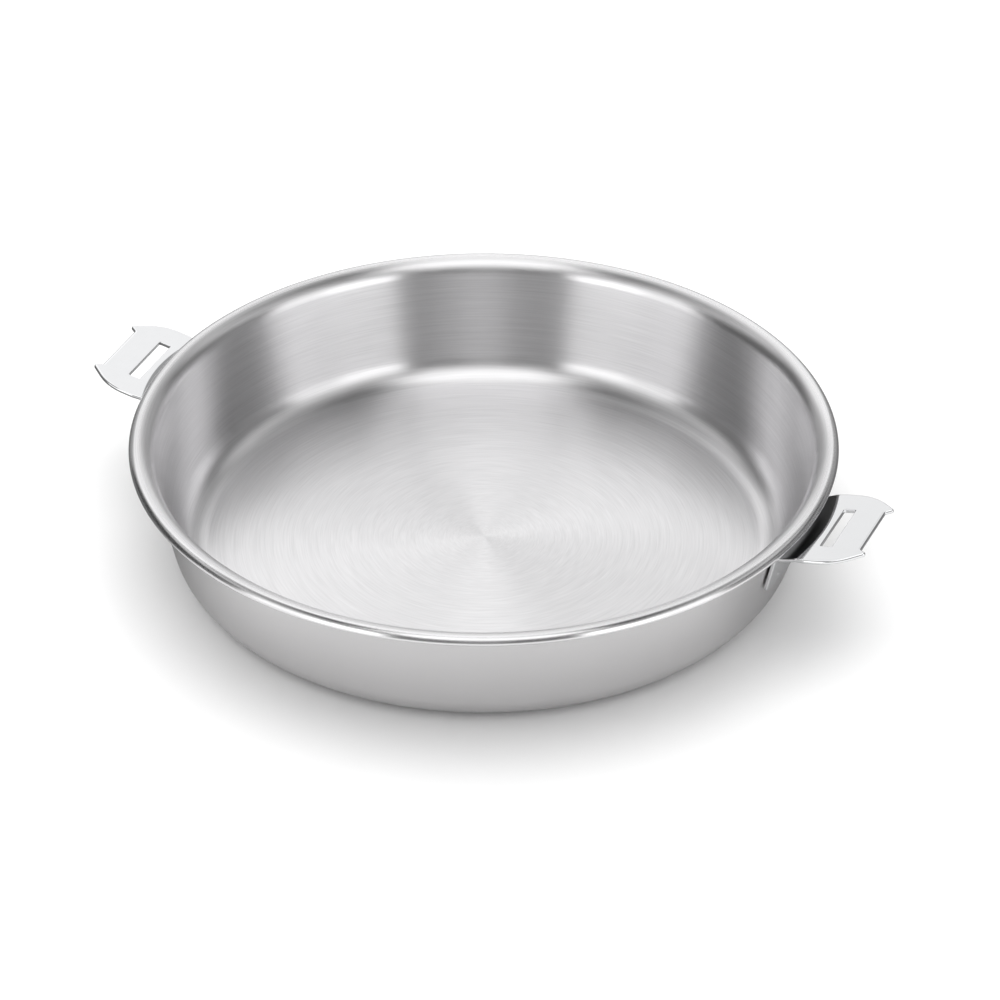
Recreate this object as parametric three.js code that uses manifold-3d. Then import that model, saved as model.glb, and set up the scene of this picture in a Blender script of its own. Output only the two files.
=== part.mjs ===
// Deep frying pan of three-layer clad steel with two welded handle brackets.
// Millimetres, +Z up. The origin is the centre of the flat base, on the surface that the pan
// stands on, and +X runs out through the middle of the right bracket.

import * as THREE from 'three';
import { mergeVertices } from 'three/addons/utils/BufferGeometryUtils.js';
import Module from 'manifold-3d';

const wasm = await Module();
wasm.setup();

const degrees = THREE.MathUtils.degToRad;

// Pan body
const RIM_RADIUS = 140; // outermost edge of the lip
const PAN_HEIGHT = 52; // base to the top of the lip
const WALL_LEAN = degrees(12.5); // wall from the vertical
const COVE_RADIUS = 15.5; // outside of the bend from base to wall
const LIP_RADIUS = 7.6; // top side of the bend from wall to lip
const ROLL_RADIUS = 2.5; // top side of the tighter bend that turns the lip's edge down
const ROLL_TURN = degrees(60); // how far the edge is turned down
const ROLL_RUN = 0.4; // straight sheet from that bend to the rounded edge

// Clad sheet, from the outside in
const OUTER_SKIN = 0.4;
const CORE = 1.5;
const COOKING_SKIN = 0.4;
const BOND_LINE = 0.02; // between two bonded layers

// Handle bracket, a bent sheet
const BRACKET_SHEET = 1.6;
const CREASE_REACH = 4.1; // crease outside the rim
const CREASE_DROP = 5.3; // crease below the top of the lip
const FACET_SLOPE = degrees(21); // sheet from the crease down to the wall
const BEND_RADIUS = 1.2; // inside of the bend from facet to flange
const FLANGE_LENGTH = 16; // down the wall from the bend
const FLANGE_WIDTH = 41.6;
const FACET_WIDTH = 46.4; // where the facet runs into the bend
const FLANGE_CORNER = 2;
const WELD_GAP = 0.5; // flange to wall

// Tab of the bracket, measured outwards from the crease in its own plane
const TAB_TILT = degrees(10.8);
const TAB_WIDTH = 49.6;
const TAB_LENGTH = 19.2; // crease to the straight outer edge
const SHOULDER_START = 11.5; // corner where the tab begins to narrow
const SHOULDER_RADIUS = 20;
const HORN_LENGTH = 3.2; // horn's sharp corner beyond the straight outer edge
const HORN_SPAN = 32; // between those two corners
const HORN_RADIUS = 1;
const NOTCH_WIDTH = 27.6; // straight outer edge between the horns
const NOTCH_RADIUS = 0.8;
const SLOT_INSET = 2.5; // crease to the slot
const SLOT_WIDTH = 4.8;
const SLOT_LENGTH = 27.2;
const SLOT_CORNER = 0.6;

// Welds under each flange
const WELD_COUNT = 4;
const WELD_PITCH = 9.2;
const WELD_RISE = 5; // above the flange's lower edge
const WELD_RADIUS = 2;
const WELD_BITE = 0.6; // into the flange
const WELD_CLEARANCE = 0.04; // round the nugget and under it
const DIMPLE_RADIUS = 0.9;
const DIMPLE_DEPTH = 0.35;

// Smoothness of the round forms
const PAN_SEGMENTS = 60;
const BRACKET_SEGMENTS = 144;
const COVE_STEPS = 5;
const LIP_STEPS = 4;
const ROLL_STEPS = 3;
const EDGE_STEPS = 6;
const BEND_STEPS = 3;
const CORNER_STEPS = 4;
const WELD_SIDES = 16;
const MARGIN = 5; // cutting shapes beyond what they cut

// Finishes
const brushed = new THREE.MeshStandardMaterial({ color: 0xd2d1cf, roughness: 0.36, metalness: 1 });
const satin = new THREE.MeshStandardMaterial({ color: 0xbdbbba, roughness: 0.3, metalness: 1 });
const aluminium = new THREE.MeshStandardMaterial({ color: 0xd6d7d9, roughness: 0.5, metalness: 1 });
const polished = new THREE.MeshStandardMaterial({ color: 0xe2e2e3, roughness: 0.12, metalness: 1 });
const weldMetal = new THREE.MeshStandardMaterial({ color: 0x8f8c89, roughness: 0.6, metalness: 1 });

// Outline of the pan's section: radius across, height up
const SHEET = OUTER_SKIN + CORE + COOKING_SKIN + 2 * BOND_LINE;
const wallOut = new THREE.Vector2(Math.cos(WALL_LEAN), -Math.sin(WALL_LEAN));
const wallUp = new THREE.Vector2(Math.sin(WALL_LEAN), Math.cos(WALL_LEAN));
const rollOut = new THREE.Vector2(Math.cos(ROLL_TURN), -Math.sin(ROLL_TURN));
const rollUp = new THREE.Vector2(Math.sin(ROLL_TURN), Math.cos(ROLL_TURN));
const rollReach = (ROLL_RADIUS - SHEET / 2) * rollUp.x + ROLL_RUN * rollOut.x + SHEET / 2;
const lipCentre = new THREE.Vector2(RIM_RADIUS - rollReach, PAN_HEIGHT - LIP_RADIUS);
const rollCentre = new THREE.Vector2(lipCentre.x, PAN_HEIGHT - ROLL_RADIUS);
const lipUnderside = LIP_RADIUS - SHEET;
const coveToLip = COVE_RADIUS + lipUnderside + (lipCentre.y - COVE_RADIUS) * Math.sin(WALL_LEAN);
const coveCentre = new THREE.Vector2(lipCentre.x - coveToLip / Math.cos(WALL_LEAN), COVE_RADIUS);
const wallFoot = coveCentre.clone().addScaledVector(wallOut, COVE_RADIUS);

/** Points of an arc about a centre, both ends included. */
function arc(centre, radius, from, to, steps) {
  const point = (_, i) => {
    const angle = from + ((to - from) * i) / steps;
    return new THREE.Vector2(centre.x + radius * Math.cos(angle), centre.y + radius * Math.sin(angle));
  };
  return Array.from({ length: steps + 1 }, point);
}

/** Section line of the sheet at a depth inside its outer face, from the axis out to the lip. */
function sheetLine(depth, shortBy = 0) {
  const up = Math.PI / 2;
  const rollBend = ROLL_RADIUS - SHEET + depth;
  const edge = rollCentre.clone().addScaledVector(rollUp, rollBend);
  return [
    new THREE.Vector2(0, depth),
    ...arc(coveCentre, COVE_RADIUS - depth, -up, -WALL_LEAN, COVE_STEPS),
    ...arc(lipCentre, lipUnderside + depth, Math.PI - WALL_LEAN, up, LIP_STEPS),
    ...arc(rollCentre, rollBend, up, up - ROLL_TURN, ROLL_STEPS).slice(1),
    edge.addScaledVector(rollOut, ROLL_RUN - shortBy),
  ];
}

/** Solid of revolution about Z of a section that runs anticlockwise. */
function revolve(section, segments) {
  return new THREE.LatheGeometry(section, segments).rotateX(Math.PI / 2);
}

/** One layer of the sheet between two depths. It stops short of the closed edge of the lip. */
function layer(from, to) {
  const section = [...sheetLine(from, BOND_LINE), ...sheetLine(to, BOND_LINE).reverse()];
  return revolve(section, PAN_SEGMENTS);
}

/** Cooking skin: its rounded lip edge closes over the ends of the core and the outer skin. */
function cookingSkin() {
  const edgeCentre = rollCentre.clone().addScaledVector(rollUp, ROLL_RADIUS - SHEET / 2);
  edgeCentre.addScaledVector(rollOut, ROLL_RUN);
  const down = -Math.PI / 2 - ROLL_TURN;
  const section = [
    ...sheetLine(SHEET - COOKING_SKIN),
    ...arc(edgeCentre, SHEET / 2, down, down + Math.PI, EDGE_STEPS),
    ...sheetLine(SHEET).reverse(),
  ];
  return revolve(section, PAN_SEGMENTS);
}

/** Closed mesh of merged vertices as a solid that can be joined and cut. */
function solid(geometry) {
  geometry.deleteAttribute('normal');
  geometry.deleteAttribute('uv');
  const merged = mergeVertices(geometry);
  const vertProperties = merged.attributes.position.array;
  const triVerts = Uint32Array.from(merged.index.array);
  return new wasm.Manifold(new wasm.Mesh({ numProp: 3, vertProperties, triVerts }));
}

/** Geometry of a joined and cut solid. */
function geometryOf(body) {
  const mesh = body.getMesh();
  const geometry = new THREE.BufferGeometry();
  geometry.setAttribute('position', new THREE.BufferAttribute(mesh.vertProperties, 3));
  geometry.setIndex(new THREE.BufferAttribute(mesh.triVerts, 1));
  geometry.computeVertexNormals();
  return geometry;
}

/** Closed outline through corners given as x, y and fillet radius, in anticlockwise order. */
function filletedShape(corners) {
  const shape = new THREE.Shape();
  corners.forEach(([x, y, radius], i) => {
    const corner = new THREE.Vector2(x, y);
    const before = new THREE.Vector2(...corners.at(i - 1)).sub(corner).normalize();
    const after = new THREE.Vector2(...corners[(i + 1) % corners.length]).sub(corner).normalize();
    const half = Math.acos(before.dot(after)) / 2;
    const start = corner.clone().addScaledVector(before, radius / Math.tan(half));
    if (i === 0) shape.moveTo(start.x, start.y);
    else shape.lineTo(start.x, start.y);
    if (radius === 0) return;
    const middle = before.clone().add(after).normalize();
    const centre = corner.clone().addScaledVector(middle, radius / Math.sin(half));
    const end = corner.clone().addScaledVector(after, radius / Math.tan(half));
    const turnsRight = before.cross(after) > 0;
    const from = start.sub(centre).angle();
    shape.absarc(centre.x, centre.y, radius, from, end.sub(centre).angle(), turnsRight);
  });
  shape.closePath();
  return shape;
}

/** Prism of an outline between two heights. */
function prism(shape, low, high) {
  const options = { depth: high - low, bevelEnabled: false, curveSegments: CORNER_STEPS };
  return new THREE.ExtrudeGeometry(shape, options).translate(0, 0, low);
}

/** Frame with its first two axes along given directions and its third square to both. */
function frame(origin, across, along) {
  const square = new THREE.Vector3().crossVectors(across, along);
  return new THREE.Matrix4().makeBasis(across, along, square).setPosition(origin);
}

// Section of the bracket: flange up the wall, bend, facet out to the crease
const facetOut = new THREE.Vector2(Math.cos(FACET_SLOPE), Math.sin(FACET_SLOPE));
const facetUp = new THREE.Vector2(-facetOut.y, facetOut.x);
const crease = new THREE.Vector2(RIM_RADIUS + CREASE_REACH, PAN_HEIGHT - CREASE_DROP);
const bendOutside = BEND_RADIUS + BRACKET_SHEET;
const bendCentre = findBendCentre();
const flangeTop = bendCentre.clone().addScaledVector(wallOut, -bendOutside);
const facetFoot = bendCentre.clone().addScaledVector(facetUp, bendOutside);
const flangeFoot = flangeTop.clone().addScaledVector(wallUp, -FLANGE_LENGTH);

/** Point that lies one outside bend radius from the facet's top and from the flange's back. */
function findBendCentre() {
  const facetLine = crease.clone().addScaledVector(facetUp, -bendOutside);
  const flangeLine = wallFoot.clone().addScaledVector(wallOut, WELD_GAP + bendOutside);
  const reach = flangeLine.clone().sub(facetLine).cross(wallUp) / facetOut.cross(wallUp);
  return facetLine.addScaledVector(facetOut, reach);
}

/** Full ring of the bracket's flange, bend and facet. The facet runs on past the crease. */
function flangeRing() {
  const overrun = crease.clone().addScaledVector(facetOut, BRACKET_SHEET);
  const flangeAngle = Math.PI - WALL_LEAN;
  const facetAngle = Math.PI / 2 + FACET_SLOPE;
  const section = [
    flangeFoot,
    flangeFoot.clone().addScaledVector(wallOut, BRACKET_SHEET),
    ...arc(bendCentre, BEND_RADIUS, flangeAngle, facetAngle, BEND_STEPS),
    overrun.clone().addScaledVector(facetUp, -BRACKET_SHEET),
    overrun,
    ...arc(bendCentre, bendOutside, facetAngle, flangeAngle, BEND_STEPS),
    flangeFoot,
  ];
  return solid(revolve(section, BRACKET_SEGMENTS));
}

// Frame in the top face of the tab: outwards from the crease, then across the tab
const across = new THREE.Vector3(0, 1, 0);
const tabOut = new THREE.Vector3(Math.cos(TAB_TILT), 0, Math.sin(TAB_TILT));
const tabFrame = frame(new THREE.Vector3(crease.x, 0, crease.y), tabOut, across);

// More than the bracket reaches back from its crease and down from its tab's top face
const downReach = PAN_HEIGHT;
const backReach = crease.x - flangeFoot.x + downReach * Math.sin(TAB_TILT);

/** Outline of the whole bracket, seen square to its tab. */
function bracketOutline() {
  const side = (sign) => [
    [-backReach, (sign * FLANGE_WIDTH) / 2, 0],
    [flangeTop.x - crease.x, (sign * FLANGE_WIDTH) / 2, 0],
    [facetFoot.x - crease.x, (sign * FACET_WIDTH) / 2, 0],
    [0, (sign * TAB_WIDTH) / 2, 0],
    [SHOULDER_START, (sign * TAB_WIDTH) / 2, SHOULDER_RADIUS],
    [TAB_LENGTH + HORN_LENGTH, (sign * HORN_SPAN) / 2, HORN_RADIUS],
    [TAB_LENGTH, (sign * NOTCH_WIDTH) / 2, NOTCH_RADIUS],
  ];
  return filletedShape([...side(-1), ...side(1).reverse()]);
}

/** Rectangle with rounded corners from x = start, centred across. */
function slotOutline(start, width, length, corner) {
  return filletedShape([
    [start, -length / 2, corner],
    [start + width, -length / 2, corner],
    [start + width, length / 2, corner],
    [start, length / 2, corner],
  ]);
}

/** Tab as an unbounded sheet that ends inside the facet. Its top is left high for trimming. */
function tabSheet() {
  const half = BRACKET_SHEET / 2;
  const inner = new THREE.Vector2(flangeFoot.x, 0);
  const outer = new THREE.Vector2(crease.x + TAB_LENGTH + HORN_LENGTH + MARGIN, 0);
  const facetHeight = (radius) => crease.y + (radius - crease.x) * Math.tan(FACET_SLOPE) - half;
  const underFacet = revolve(
    [
      inner,
      outer,
      new THREE.Vector2(outer.x, facetHeight(outer.x)),
      new THREE.Vector2(inner.x, facetHeight(inner.x)),
      inner,
    ],
    BRACKET_SEGMENTS,
  );
  const size = 2 * (backReach + TAB_LENGTH + HORN_LENGTH + TAB_WIDTH);
  const sheet = new THREE.BoxGeometry(size, size, BRACKET_SHEET + MARGIN);
  sheet.translate(0, 0, (MARGIN - BRACKET_SHEET) / 2).applyMatrix4(tabFrame);
  return solid(sheet).intersect(solid(underFacet));
}

/** Prism that rounds the flange's two lower corners, square to the wall. */
function flangeCorners() {
  const half = FLANGE_WIDTH / 2;
  const wide = TAB_WIDTH / 2 + MARGIN;
  const high = FLANGE_LENGTH + PAN_HEIGHT;
  const shape = filletedShape([
    [-wide, FLANGE_CORNER, 0],
    [-half, FLANGE_CORNER, 0],
    [-half, 0, FLANGE_CORNER],
    [half, 0, FLANGE_CORNER],
    [half, FLANGE_CORNER, 0],
    [wide, FLANGE_CORNER, 0],
    [wide, high, 0],
    [-wide, high, 0],
  ]);
  const origin = new THREE.Vector3(flangeFoot.x, 0, flangeFoot.y);
  const up = new THREE.Vector3(wallUp.x, 0, wallUp.y);
  const reach = crease.x + TAB_LENGTH + HORN_LENGTH;
  return solid(prism(shape, -MARGIN, reach).applyMatrix4(frame(origin, across, up)));
}

/** Disc square to the wall at a weld, between two distances from the wall. */
function weldDisc(place, nearRadius, farRadius, near, far) {
  const row = flangeFoot.clone().addScaledVector(wallUp, WELD_RISE).addScaledVector(wallOut, -WELD_GAP);
  const sideways = (place - (WELD_COUNT - 1) / 2) * WELD_PITCH;
  const turn = new THREE.Matrix4().makeRotationZ(Math.asin(sideways / row.x));
  const up = new THREE.Vector3(wallUp.x, 0, wallUp.y);
  const seat = frame(new THREE.Vector3(row.x, 0, row.y), across, up).premultiply(turn);
  const disc = new THREE.CylinderGeometry(farRadius, nearRadius, far - near, WELD_SIDES);
  return disc.rotateX(Math.PI / 2).translate(0, 0, (near + far) / 2).applyMatrix4(seat);
}

/** Weld nugget from the wall into the pocket in the flange. */
function weldNugget(place) {
  return weldDisc(place, WELD_RADIUS, WELD_RADIUS, WELD_CLEARANCE, WELD_GAP + WELD_BITE);
}

/** Flange pocket for one weld nugget, open towards the wall. */
function weldPocket(place) {
  const radius = WELD_RADIUS + WELD_CLEARANCE;
  return solid(weldDisc(place, radius, radius, -WELD_GAP, WELD_GAP + WELD_BITE + WELD_CLEARANCE));
}

/** Dimple that the welding leaves on the flange's outer face, half as wide at its floor. */
function weldDimple(place) {
  const face = WELD_GAP + BRACKET_SHEET;
  const floor = face - DIMPLE_DEPTH;
  return solid(weldDisc(place, DIMPLE_RADIUS / 2, 2 * DIMPLE_RADIUS, floor, face + 2 * DIMPLE_DEPTH));
}

/** One bracket, on the +X side of the pan. */
function bracket() {
  const topFace = new THREE.BoxGeometry(4 * RIM_RADIUS, 4 * RIM_RADIUS, downReach);
  topFace.translate(0, 0, -downReach / 2).applyMatrix4(tabFrame);
  const outline = prism(bracketOutline(), -downReach, MARGIN).applyMatrix4(tabFrame);
  const slot = slotOutline(SLOT_INSET, SLOT_WIDTH, SLOT_LENGTH, SLOT_CORNER);
  const slotCut = prism(slot, -BRACKET_SHEET - MARGIN, MARGIN).applyMatrix4(tabFrame);
  let body = flangeRing().add(tabSheet());
  body = body.intersect(solid(topFace)).intersect(solid(outline)).intersect(flangeCorners());
  body = body.subtract(solid(slotCut));
  for (let place = 0; place < WELD_COUNT; place += 1) {
    body = body.subtract(weldPocket(place)).subtract(weldDimple(place));
  }
  return geometryOf(body);
}

/** One side of the pan: a bracket and the welds that hold it. */
function handleSide(side, azimuth) {
  const group = new THREE.Group();
  group.rotation.z = azimuth;
  group.add(part(`${side}_bracket`, bracket(), polished));
  for (let place = 0; place < WELD_COUNT; place += 1) {
    group.add(part(`${side}_weld_${place + 1}`, weldNugget(place), weldMetal));
  }
  return group;
}

/** Named mesh of one piece. */
function part(name, geometry, material) {
  const mesh = new THREE.Mesh(geometry, material);
  mesh.name = name;
  return mesh;
}

const coreStart = OUTER_SKIN + BOND_LINE;
const pan = new THREE.Group();
pan.add(part('cooking_skin', cookingSkin(), brushed));
pan.add(part('aluminium_core', layer(coreStart, coreStart + CORE), aluminium));
pan.add(part('outer_skin', layer(0, OUTER_SKIN), satin));
pan.add(handleSide('right', 0));
pan.add(handleSide('left', Math.PI));

export default pan;
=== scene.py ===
"""Looks of a deep clad frying pan: brushed inside, polished lip, satin outside, mirror brackets."""

import math
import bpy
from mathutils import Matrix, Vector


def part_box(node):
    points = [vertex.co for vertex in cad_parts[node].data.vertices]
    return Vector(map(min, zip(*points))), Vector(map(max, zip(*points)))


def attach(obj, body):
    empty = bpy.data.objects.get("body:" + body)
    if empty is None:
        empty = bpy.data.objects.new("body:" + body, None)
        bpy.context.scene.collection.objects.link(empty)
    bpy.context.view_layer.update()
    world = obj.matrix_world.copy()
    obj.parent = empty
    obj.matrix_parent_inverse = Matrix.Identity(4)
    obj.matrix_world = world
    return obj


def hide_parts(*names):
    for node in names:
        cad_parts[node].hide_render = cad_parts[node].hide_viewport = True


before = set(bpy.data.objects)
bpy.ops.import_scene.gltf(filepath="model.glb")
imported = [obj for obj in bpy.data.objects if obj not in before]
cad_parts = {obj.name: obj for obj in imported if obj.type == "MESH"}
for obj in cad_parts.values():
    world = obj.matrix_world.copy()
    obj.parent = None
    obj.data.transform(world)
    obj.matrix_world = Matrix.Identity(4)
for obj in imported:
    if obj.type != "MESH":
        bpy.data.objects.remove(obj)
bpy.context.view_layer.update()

from types import SimpleNamespace

import bpy
import numpy as np
from bpy.props import FloatProperty, FloatVectorProperty, PointerProperty
from mathutils import Euler, Vector

BODY_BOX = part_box("cooking_skin")

bl_info = {
    "name": "Clad frying pan",
    "version": (1, 0, 0),
    "blender": (4, 5, 0),
    "location": "View3D > Sidebar > Frying pan",
    "description": "Brushed, polished and satin surfaces of a clad frying pan with two slotted brackets",
    "category": "Add Mesh",
}

# Fineness of the surfaces
PAN_SEGMENTS = 320
FLOOR_RINGS = 16
BEND_RINGS = 24
ROLL_RINGS = 16
EDGE_RINGS = 20
BRACKET_COLUMNS = 128
FLANGE_ROWS = 48
BRACKET_BEND_ROWS = 12
FACET_ROWS = 56
CORNER_POINTS = 13
ROUND_ROWS = 6
NUGGET_SIDES = 32
NUGGET_RINGS = 9
RING_INSET = 0.05

# Unit of angle
DEGREE = math.pi / 180

# Angle from which an edge between two faces stays sharp
SHARP_EDGE = 40 * DEGREE

# Width of the camera's film in millimetres
FILM_WIDTH = 36.0

# Welds under each bracket
WELDS = 4

# Sides of the pan, and what turns the right one into each
SIDES = (("right", 1.0), ("left", -1.0))

# Scales of the lines on the sheets, round the axis and across the lines
FINE_BRUSHING = (5.0, 2300.0)
BROAD_BRUSHING = (3.0, 900.0)
ROLLED_LINES = (3.0, 1500.0)

# Scales of the other patterns, per metre
OUTSIDE_CLOUDS = 30.0
OUTSIDE_GRAIN = 1500.0
BRACKET_CLOUDS = 160.0
BRACKET_RIPPLE = 60.0
WELD_PATCHES = 900.0
WELD_GRAIN = 4000.0

# Depths of the fine relief in metres
BRUSHING_DEPTH = 1e-6
GRAIN_DEPTH = 2e-7
ROLLED_DEPTH = 2e-6
RIPPLE_DEPTH = 2e-6
WELD_DEPTH = 2e-5

# Panels that the metal mirrors: sides, from and to bearing, from and to elevation in degrees, brightness
STUDIO_PANELS = (
    ("both", -10, 29, 15, 44, 0.08),  # dark card in front, round the camera
    ("both", -10, 7, 15, 44, 0.25),  # its paler middle
    ("both", -10, 32, 45, 60, 0.9),  # light wall above the card
    ("both", -10, 62, 60, 78, 1.7),  # lamp over the front
    ("both", 30, 62, 40, 60, 0.2),  # dim corners beside the light wall
    ("both", 31, 76, -20, 40, 1.3),  # softboxes left and right
    ("both", 30, 54, -20, 26, 2.0),  # their bright inner halves
    ("both", 62, 135, 34, 48, 0.7),  # grey walls above and behind them
    ("both", 62, 135, 48, 60, 0.3),  # their dim upper part
    ("both", 80, 135, 17, 31, 0.04),  # dark flags behind the softboxes
    ("both", 80, 160, -20, 8, 0.3),  # dim skirting below the flags
    ("left", 82, 138, -20, 32, 0.05),  # darker curtain on the left
    ("both", 72, 155, 61, 75, 0.04),  # dark edge of the ceiling at the sides
    ("left", 149, 195, 30, 68, 1.2),  # light wall at the back
    ("left", 186, 197, 30, 68, 1.0),  # its dimmer right end
    ("left", 165, 197, 10, 29, 0.95),  # its foot
    ("both", -10, 190, 76, 100, 1.35),  # ceiling
)


def length(name, description, default):
    """Property for a size in metres."""
    return FloatProperty(
        name=name, description=description, default=default, precision=5, unit="LENGTH", subtype="DISTANCE"
    )


def angle(name, description, degrees):
    """Property for an angle whose default is given in degrees."""
    return FloatProperty(
        name=name, description=description, default=degrees * DEGREE, unit="ROTATION", subtype="ANGLE"
    )


def share(name, description, default):
    """Property for a number from 0 to 1."""
    return FloatProperty(
        name=name, description=description, default=default, min=0.0, max=1.0, subtype="FACTOR"
    )


def strength(name, description, default):
    """Property for the brightness of a light, from 0 up."""
    return FloatProperty(name=name, description=description, default=default, min=0.0)


def colour(name, description, default):
    """Property for a linear colour."""
    return FloatVectorProperty(
        name=name, description=description, default=default, size=3, min=0.0, max=1.0, subtype="COLOR"
    )


class PanSizes(bpy.types.PropertyGroup):
    """Sizes of the round clad body."""

    rim_radius: length("Rim radius", "Axis to the outermost edge of the lip", BODY_BOX[1].x)
    height: length("Height", "Base to the top of the lip", BODY_BOX[1].z)
    wall_lean: angle("Wall lean", "Wall from the vertical", 12.5)
    cove_radius: length("Cove radius", "Outside of the bend from base to wall", 0.0155)
    lip_radius: length("Lip radius", "Top side of the bend from wall to lip", 0.0076)
    roll_radius: length("Roll radius", "Top side of the tighter bend that turns the edge down", 0.0025)
    roll_turn: angle("Roll turn", "How far the lip's edge is turned down", 60.0)
    roll_run: length("Roll run", "Straight sheet from that bend to the rounded edge", 0.0004)
    outer_skin: length("Outer skin", "Thickness of the steel outside", 0.0004)
    core: length("Core", "Thickness of the aluminium between the skins", 0.0015)
    cooking_skin: length("Cooking skin", "Thickness of the steel inside", 0.0004)
    bond_line: length("Bond line", "Gap between two bonded layers", 0.00002)


class BracketSizes(bpy.types.PropertyGroup):
    """Sizes of the bent sheet brackets and of their welds."""

    sheet: length("Sheet", "Thickness of the bracket", 0.0016)
    crease_reach: length("Crease reach", "Crease outside the rim", 0.0041)
    crease_drop: length("Crease drop", "Crease below the top of the lip", 0.0053)
    crease_softness: length("Crease softness", "Height by which the crease is rounded off", 0.00012)
    facet_slope: angle("Facet slope", "Sheet from the crease down to the wall", 21.0)
    facet_width: length("Facet width", "Width where the facet runs into the bend", 0.0464)
    bend_radius: length("Bend radius", "Inside of the bend from facet to flange", 0.0012)
    flange_length: length("Flange length", "Down the wall from the bend", 0.016)
    flange_width: length("Flange width", "Width of the flange", 0.0416)
    flange_corner: length("Flange corner", "Radius of the flange's lower corners", 0.002)
    weld_gap: length("Weld gap", "Flange to wall", 0.0005)
    tab_tilt: angle("Tab tilt", "Tab from the horizontal", 10.8)
    tab_width: length("Tab width", "Width of the tab at the crease", 0.0496)
    tab_length: length("Tab length", "Crease to the straight outer edge", 0.0192)
    tab_start: length("Tab start", "Crease to where the tab is quite flat", 0.0012)
    shoulder_start: length("Shoulder start", "Crease to the corner where the tab narrows", 0.0115)
    shoulder_radius: length("Shoulder radius", "Radius of that corner", 0.020)
    horn_length: length("Horn length", "Horn's sharp corner beyond the straight outer edge", 0.0032)
    horn_span: length("Horn span", "Between those two corners", 0.032)
    horn_radius: length("Horn radius", "Radius of a horn's tip", 0.001)
    notch_width: length("Notch width", "Straight outer edge between the horns", 0.0276)
    notch_radius: length("Notch radius", "Radius at the ends of the straight edge", 0.0008)
    slot_inset: length("Slot inset", "Crease to the slot", 0.0025)
    slot_width: length("Slot width", "Width of the slot", 0.0048)
    slot_length: length("Slot length", "Length of the slot", 0.0272)
    slot_corner: length("Slot corner", "Radius of the slot's corners", 0.0006)
    edge_round: length("Edge round", "Radius of the polished edges", 0.0006)
    slot_round: length("Slot round", "Radius of the slot's sharper edges", 0.00025)
    weld_pitch: length("Weld pitch", "Between two welds", 0.0092)
    weld_rise: length("Weld rise", "Weld above the flange's lower edge", 0.005)
    weld_radius: length("Weld radius", "Radius of a weld nugget", 0.002)
    weld_clearance: length("Weld clearance", "Nugget to the wall", 0.00004)
    weld_waist: length("Weld waist", "How far a nugget is drawn in between wall and flange", 0.0002)
    dimple_radius: length("Dimple radius", "Radius of the mark that a weld leaves on the flange", 0.0009)
    dimple_depth: length("Dimple depth", "Depth of that mark", 0.00035)


class Finishes(bpy.types.PropertyGroup):
    """Colours and gloss of the metals."""

    inside_colour: colour("Inside", "Brushed steel inside", (0.826, 0.821, 0.829))
    inside_roughness: share("Inside roughness", "Blur of the brushed inside", 0.281)
    inside_brushing: share("Inside brushing", "How far the blur is drawn out across the brush lines", 0.9)
    lip_roughness: share("Lip roughness", "Blur over the edge of the lip", 0.22)
    outside_colour: colour("Outside", "Satin steel outside", (0.735, 0.727, 0.730))
    outside_roughness: share("Outside roughness", "Blur of the outside", 0.30)
    # Painted shade: factor that darkens the outer steel's colour under the lip, where shade falls
    painted_lip_shade: share("Lip shade", "Brightness of the dull steel under the lip", 0.25)
    bracket_colour: colour("Bracket", "Polished steel of the brackets", (0.86, 0.865, 0.875))
    bracket_roughness: share("Bracket roughness", "Blur of the brackets", 0.07)
    flange_shade: share("Flange shade", "Brightness of the brackets' satin flanges", 0.83)
    core_colour: colour("Core", "Rolled aluminium", (0.69, 0.70, 0.71))
    core_roughness: share("Core roughness", "Blur of the aluminium", 0.45)
    weld_colour: colour("Weld", "Fused steel", (0.27, 0.26, 0.255))
    weld_tint: colour("Weld tint", "Heat tint round a weld", (0.33, 0.22, 0.14))
    weld_roughness: share("Weld roughness", "Blur of the welds", 0.55)


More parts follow.
